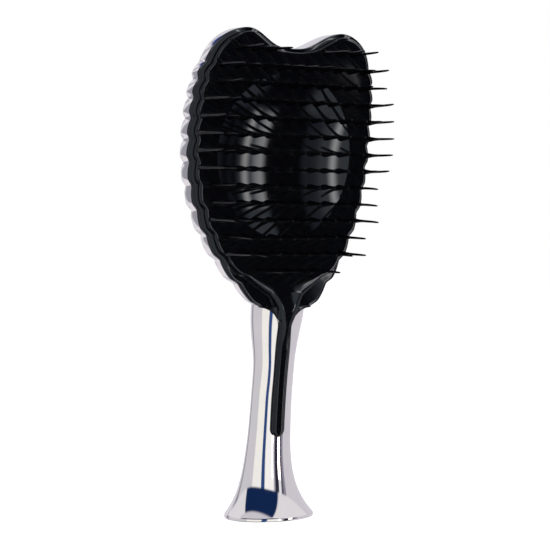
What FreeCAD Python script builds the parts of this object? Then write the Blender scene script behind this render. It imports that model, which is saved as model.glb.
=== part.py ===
import FreeCAD, Part
import math
import os
from FreeCAD import Vector

# Hair grooming brush that stands on its flared foot. Sizes are millimetres. Z points up,
# the bristles face -Y, and the origin is the middle of the foot's underside.

# Outline of the head, seen from the front
BRUSH_HEIGHT = 225.0        # foot to the tops of the two lobes
NECK_Z = 98.5               # where the head ends and the handle begins
HEAD_HEIGHT = BRUSH_HEIGHT - NECK_Z
HEAD_HALF_WIDTH = 48.6      # mean line of the scallops at the widest place
NECK_HALF_WIDTH = 14.0
LOBE_X = 23.6               # middle of each lobe
VALLEY_DROP = 8.0           # valley between the lobes, below their tops
VALLEY_HALF_WIDTH = 9.0
LOBE_ARCS = 4               # arcs that round each lobe, from the valley to the scallops

# Scallops along each side, like the ends of feathers
SCALLOPS = 11
SCALLOP_DEPTH = 1.5         # tip to notch
SCALLOP_TIP = 0.7           # where the tip stands, as a part of the scallop's length
SCALLOP_GROWTH = 1.06       # each scallop is this much longer than the one above
SCALLOP_START = 0.125       # first one, down from the lobe tops, as a part of the head

# Black face plate
FACE_RADIUS = 223.0         # the face is hollow along its height, as one arc
FACE_Z = NECK_Z + 0.45 * HEAD_HEIGHT    # height of the deepest point of that arc
FACE_Y = -6.8               # how far ahead of the handle's axis it lies there
PLATE_THICKNESS = 5.5       # height of the black edge at the head
RIM_INSET = 1.9             # the face stands in from the outer edge by this
RIM_STEP = 2.7              # height of the upper step of the edge
BOWL_DEPTH = 3.0            # round hollow in the middle of the face
BOWL_HALF_WIDTH = 36.0
BOWL_HALF_HEIGHT = 38.0
BOWL_Z = NECK_Z + 0.55 * HEAD_HEIGHT

# Tongue of the face plate, let into the handle
TONGUE_LENGTH = 60.5        # from the neck down
TONGUE_HALF_WIDTH = 3.7
TONGUE_Y = -6.9             # crown of the tongue at its end
TONGUE_BEND = (0.67, -8.4)  # point its crown passes, as (part of the neck's height, y)
TONGUE_THICKNESS = 2.8
TONGUE_ROUND = 1.38 * TONGUE_HALF_WIDTH     # radius across its rounded front
TONGUE_BALL = 1.42 * TONGUE_HALF_WIDTH      # radius of the ball that rounds its end
SEAT_CLEARANCE = 0.05       # between the face plate and the shell, at the tongue

# Plated back shell
DOME_RADIUS = 125.0         # the back is part of a ball
DOME_Y = 15.0               # its rearmost point
DOME_Z = NECK_Z + 0.525 * HEAD_HEIGHT
FLUTE_DEPTH = 1.1           # grooves that run in from the notches of the scallops
FLUTE_HALF_WIDTH = 2.2
FLUTE_LENGTH = 17.0
SHELL_WALL = 2.2

# Handle
FOOT_HALF_WIDTH = 22.6
FOOT_HALF_DEPTH = 15.4
FOOT_EDGE = 1.6             # upright edge round the foot
WAIST_HALF_WIDTH = 10.4
WAIST_HALF_DEPTH = 6.1
WAIST_Z = 0.61 * NECK_Z
FLARE_LENGTH = 13.0         # the flare fades by a factor of e over this height
NECK_HALF_DEPTH = 9.0
# Middle of the handle, seen from the side, as (part of the neck's height, y)
AXIS_LINE = [(0.0, 0.0), (0.13, 1.7), (0.26, 2.1), (0.42, 1.1), (0.58, -0.1), (0.73, -1.5),
             (0.88, -2.3), (1.0, -3.7), (1.14, -3.6), (1.5, -3.4)]
RIDGE_LENGTH = 27.5         # the handle runs up into the dome this far over the neck
RIDGE_HALF_WIDTH = 9.6
HANDLE_BANDS = 20           # the handle is built of this many bands, shorter at the flare

# Cap that closes the hollow foot
CAP_THICKNESS = 2.4
CAP_CLEARANCE = 0.1
CAP_LEDGE = 1.0             # width of the ledge that the cap seats against
CORE_END = 14.5             # the hollow of the handle ends this far below the neck

# Bristles
PIN_PITCH = 7.7             # between rows and between columns
PIN_LENGTH = 20.7
PIN_TOP_ROW_DROP = 9.3      # first row, below the lobe tops
PIN_LAST_ROW_RISE = 17.0    # the last row is at least this far above the neck
PIN_ROOT_RADIUS = 1.05
PIN_TIP_RADIUS = 0.42
PIN_SIDES = 5
PIN_EDGE = 0.3              # the outer pins keep this far inside the lip
PIN_CROWDING = 0.1          # a column fits if it needs no more than this part of the pitch
PIN_TOP_COLUMNS = (2, 4)    # columns of the first row, whose middle is open for the valley
PIN_LAST_COLUMNS = (0, 2)   # columns of the last row, at the neck

# Posts that hold the face plate in the shell, as parts of the head's half width and height
POSTS = [(0.49, 0.80), (0.70, 0.53), (0.35, 0.23)]
POST_WIDTH = 6.0
POST_HEIGHT = 3.0
POST_LENGTH = 5.0
SOCKET_WALL = 1.6
SOCKET_CLEARANCE = 0.1

PAST = 8.0                  # a cutting body runs at least this far past what it cuts
FAR = BRUSH_HEIGHT          # more than the object reaches from its middle, on any side


def along(line, z):
    """Value of a line of (height, value) pairs at a height, as a smooth curve."""
    points = sorted(line)
    last = len(points) - 2
    i = 0
    while i < last and z > points[i + 1][0]:
        i += 1
    z1, v1 = points[i]
    z2, v2 = points[i + 1]
    before = points[max(i - 1, 0)]
    after = points[min(i + 2, len(points) - 1)]
    slope1 = (v2 - before[1]) / (z2 - before[0])
    slope2 = (after[1] - v1) / (after[0] - z1)
    t = (z - z1) / (z2 - z1)
    span = z2 - z1
    return (v1 * (2 * t ** 3 - 3 * t ** 2 + 1) + slope1 * span * (t ** 3 - 2 * t ** 2 + t)
            + v2 * (3 * t ** 2 - 2 * t ** 3) + slope2 * span * (t ** 3 - t ** 2))


def fade(value, low, high):
    """Smooth step from 0 at low to 1 at high."""
    t = min(max((value - low) / (high - low), 0.0), 1.0)
    return t * t * (3 - 2 * t)


def spline(points):
    curve = Part.BSplineCurve()
    curve.interpolate(points)
    return curve.toShape()


# Outline of the head

def head_curve():
    """Outline without its scallops, from the left of the neck over the lobes to the right."""
    width = HEAD_HALF_WIDTH
    top = BRUSH_HEIGHT
    right = [(0.0, top - VALLEY_DROP),
             (VALLEY_HALF_WIDTH, top - 0.85 * VALLEY_DROP),
             (LOBE_X, top),
             (0.77 * width, top - 0.036 * HEAD_HEIGHT),
             (0.92 * width, top - 0.125 * HEAD_HEIGHT),
             (width, top - 0.33 * HEAD_HEIGHT),
             (0.975 * width, top - 0.53 * HEAD_HEIGHT),
             (0.84 * width, top - 0.715 * HEAD_HEIGHT),
             (0.57 * width, top - 0.885 * HEAD_HEIGHT),
             (NECK_HALF_WIDTH, NECK_Z)]
    left = [(-x, z) for x, z in reversed(right[1:])]
    curve = Part.BSplineCurve()
    curve.interpolate([Vector(x, 0, z) for x, z in left + right])
    return curve


HEAD_CURVE = head_curve()
HALF_LENGTH = HEAD_CURVE.length() / 2


def head_point(distance, offset=0.0):
    """Point of the outline at a distance from the valley, moved outwards by offset."""
    parameter = HEAD_CURVE.parameterAtDistance(HALF_LENGTH + distance)
    tangent = HEAD_CURVE.tangent(parameter)[0]
    return HEAD_CURVE.value(parameter) + Vector(-tangent.z, 0, tangent.x) * offset


def scallop_start():
    """Distance from the valley to where the scallops start."""
    level = BRUSH_HEIGHT - SCALLOP_START * HEAD_HEIGHT
    low = 0.0
    high = HALF_LENGTH
    for halving in range(30):
        middle = (low + high) / 2
        point = head_point(middle)
        past = point.x > LOBE_X and point.z < level
        low, high = (low, middle) if past else (middle, high)
    return low


START = scallop_start()
FIRST_SCALLOP = ((HALF_LENGTH - START) * (SCALLOP_GROWTH - 1)
                 / (SCALLOP_GROWTH ** SCALLOPS - 1))


def scallop_point(count, inset=0.0):
    """Point of the right edge after a number of scallops, whole or part."""
    distance = START + FIRST_SCALLOP * (SCALLOP_GROWTH ** count - 1) / (SCALLOP_GROWTH - 1)
    share = count % 1.0
    rise = 1 - (1 - share / SCALLOP_TIP) ** 2
    wave = rise if share < SCALLOP_TIP else (1 - share) / (1 - SCALLOP_TIP)
    return head_point(distance, SCALLOP_DEPTH * (wave - 0.5) - inset)


def flipped(point):
    return Vector(-point.x, point.y, point.z)


def head_edges(inset):
    """Edges of the scalloped outline: arcs over the lobes, an arc and a short step a scallop."""
    places = [START * i / (2 * LOBE_ARCS) for i in range(2 * LOBE_ARCS)]
    lobe = [head_point(place, -inset) for place in places] + [scallop_point(0, inset)]
    edges = []
    for i in range(0, 2 * LOBE_ARCS, 2):
        edges.append(Part.Arc(*lobe[i:i + 3]).toShape())
        edges.append(Part.Arc(*[flipped(point) for point in lobe[i:i + 3]]).toShape())
    for count in range(SCALLOPS):
        notch, bend, tip, next_notch = [scallop_point(count + share, inset)
                                        for share in (0, SCALLOP_TIP / 2, SCALLOP_TIP, 1)]
        edges.append(Part.Arc(notch, bend, tip).toShape())
        edges.append(Part.makeLine(tip, next_notch))
        edges.append(Part.Arc(flipped(notch), flipped(bend), flipped(tip)).toShape())
        edges.append(Part.makeLine(flipped(tip), flipped(next_notch)))
    return edges


def plain_outline(inset):
    """Outline without scallops as a many-sided wire, flat across the neck."""
    right = [head_point(HALF_LENGTH * i / 9, -inset) for i in range(10)]
    return Part.makePolygon([flipped(p) for p in reversed(right)] + right[1:]
                            + [flipped(right[-1])])


def upright(wire, y_low, y_high):
    """Solid with a front view of this outline, between two depths."""
    face = Part.Face(wire)
    face.translate(Vector(0, y_low, 0))
    return face.extrude(Vector(0, y_high - y_low, 0))


def above(z):
    """Everything over a height."""
    return Part.makeBox(2 * FAR, 2 * FAR, 2 * FAR, Vector(-FAR, -FAR, z))


# Side profile

TONGUE_END_Z = NECK_Z - TONGUE_LENGTH


def face_arc_y(z, back=0.0):
    """Face at the head as an arc, or a surface that lies behind it."""
    radius = FACE_RADIUS + back
    return FACE_Y - FACE_RADIUS + math.sqrt(radius ** 2 - (z - FACE_Z) ** 2)


def tongue_arc():
    """Arc of the tongue's crown, from its end up to the neck, as three points (z, y)."""
    share, bend_y = TONGUE_BEND
    return [(TONGUE_END_Z - PAST, TONGUE_Y), (share * NECK_Z, bend_y),
            (NECK_Z, face_arc_y(NECK_Z))]


def bowl_profile():
    """Circle that the bowl follows up its middle, from lip to lip."""
    low, high = BOWL_Z - BOWL_HALF_HEIGHT, BOWL_Z + BOWL_HALF_HEIGHT
    return Part.Circle(Vector(0, face_arc_y(low), low),
                       Vector(0, face_arc_y(BOWL_Z) + BOWL_DEPTH, BOWL_Z),
                       Vector(0, face_arc_y(high), high))


def bowl_axis_y():
    """Upright axis that the profile turns about, which gives the bowl its curve sideways."""
    radius = (BOWL_HALF_WIDTH ** 2 + BOWL_DEPTH ** 2) / (2 * BOWL_DEPTH)
    return face_arc_y(BOWL_Z) + BOWL_DEPTH - radius


def bowl_body():
    profile = bowl_profile()
    axis = Vector(0, bowl_axis_y(), profile.Center.z)
    return Part.makeTorus(profile.Center.y - axis.y, profile.Radius, axis, Vector(0, 0, 1))


def face_y(x, z):
    """Front surface of the head, which the bristles stand on."""
    profile = bowl_profile()
    middle_y = profile.Center.y + math.sqrt(profile.Radius ** 2 - (z - profile.Center.z) ** 2)
    bowl_y = bowl_axis_y() + math.sqrt((middle_y - bowl_axis_y()) ** 2 - x ** 2)
    return max(face_arc_y(z), bowl_y)


def across(edges, reach):
    """Everything between a side profile and y = reach, from side to side."""
    wire = Part.Wire(edges)
    first, last = wire.OrderedVertexes[0].Point, wire.OrderedVertexes[-1].Point
    corners = [last, Vector(0, reach, last.z), Vector(0, reach, first.z), first]
    face = Part.Face(Part.Wire(wire.OrderedEdges + Part.makePolygon(corners).Edges))
    face.translate(Vector(-FAR, 0, 0))
    return face.extrude(Vector(2 * FAR, 0, 0))


def head_profile(back):
    """Arc of the face, or of a surface behind it, from the neck past the top."""
    top = BRUSH_HEIGHT + PAST
    points = [Vector(0, face_arc_y(z, back), z) for z in (NECK_Z, (NECK_Z + top) / 2, top)]
    return Part.Arc(*points).toShape()


def tongue_profile(back):
    points = [Vector(0, y + back, z) for z, y in tongue_arc()]
    return Part.Arc(*points).toShape()


def plate_front():
    return across([tongue_profile(0.0), head_profile(0.0)], -FAR)


def plate_back(clearance=0.0):
    """Everything behind the face plate, which is thin at the tongue and thick at the head."""
    tongue = tongue_profile(TONGUE_THICKNESS + clearance)
    head = head_profile(PLATE_THICKNESS + clearance)
    step = Part.makeLine(tongue.Vertexes[-1].Point, head.Vertexes[0].Point)
    return across([tongue, step, head], FAR)


# Face plate

def tongue_edges(grow):
    """Edges of the yoke and the tongue below the neck. grow widens them for their seat."""
    neck = scallop_point(SCALLOPS)
    half = TONGUE_HALF_WIDTH + grow
    radius = neck.x - half
    turn = radius * math.sqrt(0.5)
    yoke_z = neck.z - radius
    end_z = TONGUE_END_Z + TONGUE_HALF_WIDTH
    edges = [Part.Arc(Vector(half, 0, end_z), Vector(0, 0, end_z - half),
                      Vector(-half, 0, end_z)).toShape()]
    for side in (1, -1):
        corner = Vector(side * neck.x, 0, neck.z)
        middle = Vector(side * (neck.x - turn), 0, yoke_z + turn)
        foot = Vector(side * half, 0, yoke_z)
        edges.append(Part.Arc(corner, middle, foot).toShape())
        edges.append(Part.makeLine(foot, Vector(side * half, 0, end_z)))
    return edges


def plate_wire():
    """Outline of the face plate and its tongue."""
    return Part.Wire(Part.__sortEdges__(head_edges(0.0) + tongue_edges(0.0)))


def seat_wire():
    """Outline of the seat of the yoke and the tongue in the handle."""
    neck = scallop_point(SCALLOPS)
    over = neck + Vector(0, 0, PAST)
    over = Part.makePolygon([neck, over, flipped(over), flipped(neck)])
    return Part.Wire(Part.__sortEdges__(tongue_edges(SEAT_CLEARANCE) + over.Edges))


def rim_cutter():
    """What the upper step of the edge takes off round the head."""
    neck = scallop_point(SCALLOPS, RIM_INSET)
    inner = head_edges(RIM_INSET) + [Part.makeLine(neck, flipped(neck))]
    inner = Part.Wire(Part.__sortEdges__(inner))
    step = across([head_profile(RIM_STEP)], -FAR / 2).common(above(neck.z))
    return step.cut(upright(inner, -FAR, FAR))


def yoke_foot_z():
    """Height where the yoke has narrowed to the tongue."""
    neck = scallop_point(SCALLOPS)
    return neck.z - (neck.x - TONGUE_HALF_WIDTH)


def tongue_bar():
    """Round bar with a ball at its end, which the tongue's front is rounded by. Towards the
    yoke it comes forward, so that the rounding fades out there."""
    drop = TONGUE_ROUND - math.sqrt(TONGUE_ROUND ** 2 - TONGUE_HALF_WIDTH ** 2)
    crown = Part.Circle(*[Vector(0, y, z) for z, y in tongue_arc()])
    low = TONGUE_END_Z + TONGUE_HALF_WIDTH
    high = yoke_foot_z()
    line = []
    for z, ahead in ((low, 0.0), ((low + high) / 2, drop / 8), (high, drop)):
        crown_y = crown.Center.y + math.sqrt(crown.Radius ** 2 - (z - crown.Center.z) ** 2)
        line.append(Vector(0, crown_y - ahead + TONGUE_ROUND, z))
    middle = Part.Circle(*line)
    bar = Part.makeTorus(middle.Radius, TONGUE_ROUND, middle.Center, Vector(1, 0, 0))
    return bar.common(above(low)).fuse(Part.makeSphere(TONGUE_BALL, line[0]))


def make_face_plate():
    plate = upright(plate_wire(), -FAR / 2, FAR / 2)
    plate = plate.cut([plate_front(), plate_back(), rim_cutter()])
    plate = plate.cut(bowl_body())
    square_corners = plate.cut([above(yoke_foot_z()), tongue_bar()])
    plate = plate.cut(square_corners)
    return plate.fuse([post(x, z) for x, z in post_places()])


def post_places():
    return [(side * x * HEAD_HALF_WIDTH, NECK_Z + share * HEAD_HEIGHT)
            for x, share in POSTS for side in (1, -1)]


def post(x, z, grow=0.0, length=POST_LENGTH):
    """Rectangular post from inside the face plate back into the shell."""
    wide = POST_WIDTH + 2 * grow
    tall = POST_HEIGHT + 2 * grow
    root = PLATE_THICKNESS / 5
    start = face_arc_y(z, PLATE_THICKNESS) - root
    return Part.makeBox(wide, length + root, tall, Vector(x - wide / 2, start, z - tall / 2))


# Back shell

def dome_y(x, z):
    """Back surface of the shell."""
    return (DOME_Y - DOME_RADIUS
            + math.sqrt(DOME_RADIUS ** 2 - x ** 2 - (z - DOME_Z) ** 2))


def half_width(z):
    """Half width of the handle."""
    low = WAIST_HALF_WIDTH + (FOOT_HALF_WIDTH - WAIST_HALF_WIDTH) * math.exp(
        -max(z - FOOT_EDGE, 0.0) / FLARE_LENGTH)
    neck = scallop_point(SCALLOPS).x
    high = (neck - WAIST_HALF_WIDTH) * fade(z, WAIST_Z + 0.1 * NECK_Z, NECK_Z)
    taper = (neck - RIDGE_HALF_WIDTH) * fade(z, NECK_Z, RIDGE_END_Z)
    return low + high - taper


def half_depth(z):
    """Half depth of the handle."""
    low = WAIST_HALF_DEPTH + (FOOT_HALF_DEPTH - WAIST_HALF_DEPTH) * math.exp(
        -max(z - FOOT_EDGE, 0.0) / FLARE_LENGTH)
    high = (NECK_HALF_DEPTH - WAIST_HALF_DEPTH) * fade(z, WAIST_Z - 0.05 * NECK_Z, NECK_Z)
    return low + high


RIDGE_END_Z = NECK_Z + RIDGE_LENGTH
HANDLE_STATIONS = [FOOT_EDGE + (RIDGE_END_Z - FOOT_EDGE) * (i / HANDLE_BANDS) ** 1.5
                   for i in range(HANDLE_BANDS + 1)]


def axis_y(z):
    return along(AXIS_LINE, z / NECK_Z)


def oval(z, inset=0.0):
    """Cross section of the handle at a height, taken in by inset: four arcs that run smoothly
    into each other, for an oval that is wider than deep."""
    centre = Vector(0, axis_y(z), z)
    wide = half_width(z) - inset
    deep = half_depth(z) - inset
    slant = math.hypot(wide, deep)
    end_radius = slant * (slant - wide + deep) / (2 * wide)
    side_radius = slant * (slant + wide - deep) / (2 * deep)
    part = side_radius / (side_radius - end_radius)
    join = Vector((wide - end_radius) * part, (deep - side_radius) * (1 - part), 0)
    across_join = Vector(join.x, -join.y, 0)
    end = Vector(wide, 0, 0)
    side = Vector(0, deep, 0)
    arcs = [(across_join, end, join), (join, side, -across_join), (-across_join, -end, -join),
            (-join, -side, across_join)]
    return Part.Wire([Part.Arc(*[centre + point for point in arc]).toShape() for arc in arcs])


def flat_sided(z, inset, front_inset):
    """Ten-sided outline inside the handle's cross section, taken in more at the front."""
    centre = Vector(0, axis_y(z) + front_inset / 2, z)
    wide = half_width(z) - inset
    deep = half_depth(z) - inset - front_inset / 2
    turns = [2 * math.pi * i / 10 for i in range(11)]
    return Part.makePolygon([centre + Vector(wide * math.cos(t), deep * math.sin(t), 0)
                             for t in turns])


def foot_disc(inset, z_low, z_high):
    """Oval plate at the foot."""
    disc = Part.Face(oval(0.0, inset)).extrude(Vector(0, 0, z_high - z_low))
    disc.translate(Vector(0, 0, z_low))
    return disc


def make_handle():
    body = Part.makeLoft([oval(z) for z in HANDLE_STATIONS], True, True)
    return body.fuse(foot_disc(0.0, 0.0, FOOT_EDGE))


def handle_core():
    """Hollow of the handle, open at the foot, with a ledge that stops the cap."""
    sections = [(CAP_THICKNESS, 0.0), (TONGUE_END_Z / 3, 0.0), (0.8 * TONGUE_END_Z, 0.9),
                (NECK_Z - CORE_END, 0.9)]
    core = Part.makeLoft([flat_sided(z, SHELL_WALL, thin * TONGUE_THICKNESS)
                          for z, thin in sections], True, True)
    return core.fuse(foot_disc(SHELL_WALL - CAP_LEDGE, 0.0, CAP_THICKNESS))


def make_foot_cap():
    return foot_disc(SHELL_WALL - CAP_LEDGE + CAP_CLEARANCE, 0.0, CAP_THICKNESS)


def domed(outline, inset):
    """Body with a front view of this outline and the dome behind it."""
    ball = Part.makeSphere(DOME_RADIUS - inset, Vector(0, DOME_Y - DOME_RADIUS, DOME_Z))
    return upright(outline, -FAR / 2, FAR / 2).common(ball)


def flute(count, side):
    """Groove that runs from a notch of the scallops in over the dome and fades out."""
    notch = scallop_point(count)
    inward = (Vector(0, 0, DOME_Z) - notch).normalize()
    end = notch + inward * FLUTE_LENGTH
    bottom = Vector(notch.x, dome_y(notch.x, notch.z) - FLUTE_DEPTH, notch.z)
    run = (Vector(end.x, dome_y(end.x, end.z), end.z) - bottom).normalize()
    across_run = run.cross(Vector(0, 1, 0)).normalize()
    out = across_run.cross(run)
    start = bottom - run * PAST
    corners = [start, start + (out * FLUTE_DEPTH + across_run * FLUTE_HALF_WIDTH) * 2,
               start + (out * FLUTE_DEPTH - across_run * FLUTE_HALF_WIDTH) * 2, start]
    groove = Part.Face(Part.makePolygon(corners)).extrude(run * (FLUTE_LENGTH + 2 * PAST))
    return groove if side > 0 else groove.mirror(Vector(0, 0, 0), Vector(1, 0, 0))


def shell_hollow():
    """Inside of the shell behind the face plate, round the sockets of the posts."""
    hollow = domed(plain_outline(SHELL_WALL + SCALLOP_DEPTH / 2), SHELL_WALL)
    hollow = hollow.common(above(NECK_Z + 3 * SHELL_WALL))
    sockets = [post(x, z, SOCKET_WALL + SOCKET_CLEARANCE, FAR) for x, z in post_places()]
    return hollow.cut(sockets)


def make_back_shell():
    neck = scallop_point(SCALLOPS)
    head = Part.Wire(Part.__sortEdges__(head_edges(0.0) + [Part.makeLine(neck, flipped(neck))]))
    body = domed(head, 0.0)
    body = body.cut([flute(count, side) for count in range(1, SCALLOPS) for side in (1, -1)])
    body = body.fuse(make_handle())
    ahead = across([head_profile(PLATE_THICKNESS)], -FAR).common(above(neck.z))
    body = body.cut(ahead)
    body = body.cut(shell_hollow())
    deep = POST_LENGTH + 3 * SOCKET_CLEARANCE
    body = body.cut([post(x, z, SOCKET_CLEARANCE, deep) for x, z in post_places()])
    seat = upright(seat_wire(), -FAR / 2, FAR / 2).cut(plate_back(SEAT_CLEARANCE))
    body = body.cut(seat)
    return body.cut(handle_core())


# Bristles

PIN_ROWS = int((HEAD_HEIGHT - PIN_TOP_ROW_DROP - PIN_LAST_ROW_RISE) / PIN_PITCH) + 1
FACE_EDGE = [scallop_point(count / 8, RIM_INSET) for count in range(8 * SCALLOPS + 1)]


def face_reach(z):
    """Half width of the face at a height, or at the nearest end of its scalloped edge."""
    z = min(max(z, FACE_EDGE[-1].z), FACE_EDGE[0].z)
    return max(upper.x for upper, lower in zip(FACE_EDGE, FACE_EDGE[1:])
               if upper.z >= z >= lower.z)


def row_columns(row, reach):
    """First and last column of a row, on each side of the middle one."""
    if row == 0:
        return PIN_TOP_COLUMNS
    if row == PIN_ROWS - 1:
        return PIN_LAST_COLUMNS
    return 0, int(reach / PIN_PITCH + PIN_CROWDING)


def pin_places():
    """Foot of each bristle on the face, as (x, z)."""
    places = []
    for row in range(PIN_ROWS):
        z = BRUSH_HEIGHT - PIN_TOP_ROW_DROP - row * PIN_PITCH
        reach = face_reach(z)
        first, last = row_columns(row, reach)
        for column in range(first, last + 1):
            x = min(column * PIN_PITCH, reach - PIN_ROOT_RADIUS - PIN_EDGE)
            places.extend([(x, z)] if column == 0 else [(-x, z), (x, z)])
    return places


def pin(x, z):
    """One bristle: a slender many-sided taper whose foot follows the slope of the face."""
    root = face_y(x, z)
    slope_x = face_y(x + 0.5, z) - face_y(x - 0.5, z)
    slope_z = face_y(x, z + 0.5) - face_y(x, z - 0.5)
    taper = (PIN_ROOT_RADIUS - PIN_TIP_RADIUS) / PIN_LENGTH
    foot = []
    tip = []
    for i in range(PIN_SIDES):
        turn = math.pi / 2 + 2 * math.pi * i / PIN_SIDES
        c = math.cos(turn)
        s = math.sin(turn)
        tilt = slope_x * c + slope_z * s
        radius = PIN_ROOT_RADIUS / (1 - taper * tilt)
        foot.append(Vector(x + radius * c, root + tilt * radius, z + radius * s))
        tip.append(Vector(x + PIN_TIP_RADIUS * c, root - PIN_LENGTH, z + PIN_TIP_RADIUS * s))
    corners = [foot, tip]
    for i in range(PIN_SIDES):
        j = (i + 1) % PIN_SIDES
        corners.append([foot[i], foot[j], tip[j], tip[i]])
    faces = [Part.Face(Part.makePolygon(loop + loop[:1])) for loop in corners]
    return Part.Solid(Part.makeShell(faces))


def make_bristles():
    return Part.makeCompound([pin(x, z) for x, z in pin_places()])


os.makedirs("parts", exist_ok=True)
NODES = {"face_plate": make_face_plate, "bristles": make_bristles, "foot_cap": make_foot_cap,
         "back_shell": make_back_shell}
for name, make in NODES.items():
    make().exportStep("parts/" + name + ".step")
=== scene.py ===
# %% [markdown]
# A hair grooming brush that stands on the flared end of its handle. The real one is two
# injection mouldings: a glossy black face whose bristles are moulded with it, and a hollow
# back with the handle, plated like a mirror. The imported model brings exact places, and this
# lesson rebuilds the surfaces that show, finely enough for mirror finishes, where a coarse
# mesh is seen at once as broken reflections.

# %% Frame
import math

import bmesh
import bpy
import numpy as np
from mathutils import Matrix, Vector


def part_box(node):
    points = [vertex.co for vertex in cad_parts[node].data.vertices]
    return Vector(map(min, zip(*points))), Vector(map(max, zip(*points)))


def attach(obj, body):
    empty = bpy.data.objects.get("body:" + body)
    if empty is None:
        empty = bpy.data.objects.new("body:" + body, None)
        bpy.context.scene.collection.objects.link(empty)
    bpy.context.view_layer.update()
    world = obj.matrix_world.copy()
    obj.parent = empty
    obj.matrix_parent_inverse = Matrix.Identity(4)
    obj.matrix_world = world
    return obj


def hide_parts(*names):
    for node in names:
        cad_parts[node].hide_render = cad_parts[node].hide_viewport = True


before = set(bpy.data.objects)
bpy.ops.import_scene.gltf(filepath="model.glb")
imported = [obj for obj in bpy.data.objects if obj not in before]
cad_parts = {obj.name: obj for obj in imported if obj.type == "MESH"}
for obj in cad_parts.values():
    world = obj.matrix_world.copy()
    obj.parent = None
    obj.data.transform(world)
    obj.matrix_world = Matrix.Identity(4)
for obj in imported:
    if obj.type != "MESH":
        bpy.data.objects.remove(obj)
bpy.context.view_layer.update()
MM = 0.001

# %% [markdown]
# The camera comes first, because every later choice is judged through it. A product is
# photographed from far away with a long lens, which keeps its sides nearly parallel. Three
# directions and a place describe it fully, so it is set with a matrix and no tracking.

# %% Camera
CAMERA_PLACE = Vector((-459.11, -720.67, 154.13)) * MM
CAMERA_RIGHT = Vector((0.84345, -0.53679, 0.02119))
CAMERA_UP = Vector((0.00803, 0.05204, 0.99861))
CAMERA_BACK = CAMERA_RIGHT.cross(CAMERA_UP)
LENS_MM = 120.4

lens = bpy.data.cameras.new("photo_camera")
lens.lens = LENS_MM
lens.sensor_width = 36.0
lens.clip_start = 0.01
camera = bpy.data.objects.new("photo_camera", lens)
bpy.context.scene.collection.objects.link(camera)
turn = Matrix((CAMERA_RIGHT, CAMERA_UP, CAMERA_BACK)).transposed()
camera.matrix_world = Matrix.Translation(CAMERA_PLACE) @ turn.to_4x4()
bpy.context.scene.camera = camera
bpy.context.scene.view_settings.view_transform = "Standard"
print("camera", round(CAMERA_PLACE.length, 3), "m from the foot, lens", LENS_MM, "mm")

# %% [markdown]
# ## Sizes
#
# The main sizes are in millimetres, and the same as the solids have. The box of the packed
# face plate is printed after them, to hold against the mesh that takes its place.

# %% Sizes of the head
BRUSH_HEIGHT = 225.0        # foot to the tops of the two lobes
NECK_Z = 98.5               # where the head ends and the handle begins
HEAD_HEIGHT = BRUSH_HEIGHT - NECK_Z
HEAD_HALF_WIDTH = 48.6      # mean line of the scallops at the widest place
NECK_HALF_WIDTH = 14.0
LOBE_X = 23.6               # middle of each lobe
VALLEY_DROP = 8.0           # valley between the lobes, below their tops
VALLEY_HALF_WIDTH = 9.0
SCALLOPS = 11               # on each side
SCALLOP_DEPTH = 1.5         # tip to notch
SCALLOP_TIP = 0.7           # where the tip stands, as a part of the scallop's length
SCALLOP_GROWTH = 1.06       # each scallop is this much longer than the one above
SCALLOP_START = 0.125       # first one, below the lobe tops, as a part of the head
FACE_RADIUS = 223.0         # the face is hollow along its height, as one arc
FACE_Z = NECK_Z + 0.45 * HEAD_HEIGHT        # the deepest place of that arc
FACE_Y = -6.8
PLATE_THICKNESS = 5.5       # height of the black edge
RIM_INSET = 1.9             # the lip stands in from the outer edge by this
RIM_STEP = 2.7              # height of the lip over the flange
BOWL_DEPTH, BOWL_HALF_WIDTH, BOWL_HALF_HEIGHT = 3.0, 36.0, 38.0
BOWL_Z = NECK_Z + 0.55 * HEAD_HEIGHT        # middle of the dish in the face
DOME_RADIUS = 125.0         # the back is part of a ball
DOME_Y = 15.0
DOME_Z = NECK_Z + 0.525 * HEAD_HEIGHT
FLUTE_DEPTH = 1.1           # grooves that run in over the back from the notches
FLUTE_HALF_WIDTH = 2.2
FLUTE_LENGTH = 17.0

low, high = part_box("face_plate")
print("face plate in mm:", [round(v / MM, 1) for v in low], [round(v / MM, 1) for v in high])

# %% [markdown]
# ## Outline of the head
#
# Everything on the head shares one outline: a smooth curve over two lobes, with feather-end
# scallops down each side. A cubic spline gives the smooth curve, through ten points from the
# valley down to the neck and their mirror images. It is measured along its length, so that a
# scallop is simply a wave on the distance walked. Drawn by hand, 22 scallops would never grow
# so evenly.

# %% Smooth outline
def spline_through(points, samples):
    """Even samples of a natural cubic spline through points, in a table of distances."""
    points = np.array(points)
    steps = np.hypot(*np.diff(points, axis=0).T)
    knots = np.concatenate([[0], np.cumsum(steps)])
    size = len(points)
    system = np.zeros((size, size))
    pull = np.zeros((size, 2))
    system[0, 0] = system[-1, -1] = 1
    for i in range(1, size - 1):
        before, after = steps[i - 1], steps[i]
        system[i, i - 1:i + 2] = before, 2 * (before + after), after
        pull[i] = 6 * ((points[i + 1] - points[i]) / after
                       - (points[i] - points[i - 1]) / before)
    bend = np.linalg.solve(system, pull)
    t = np.linspace(0, knots[-1], samples)
    i = np.clip(np.searchsorted(knots, t) - 1, 0, size - 2)
    h = steps[i][:, None]
    a = (knots[i + 1] - t)[:, None]
    b = (t - knots[i])[:, None]
    return (bend[i] * a ** 3 / (6 * h) + bend[i + 1] * b ** 3 / (6 * h)
            + (points[i] / h - bend[i] * h / 6) * a
            + (points[i + 1] / h - bend[i + 1] * h / 6) * b)


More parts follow.
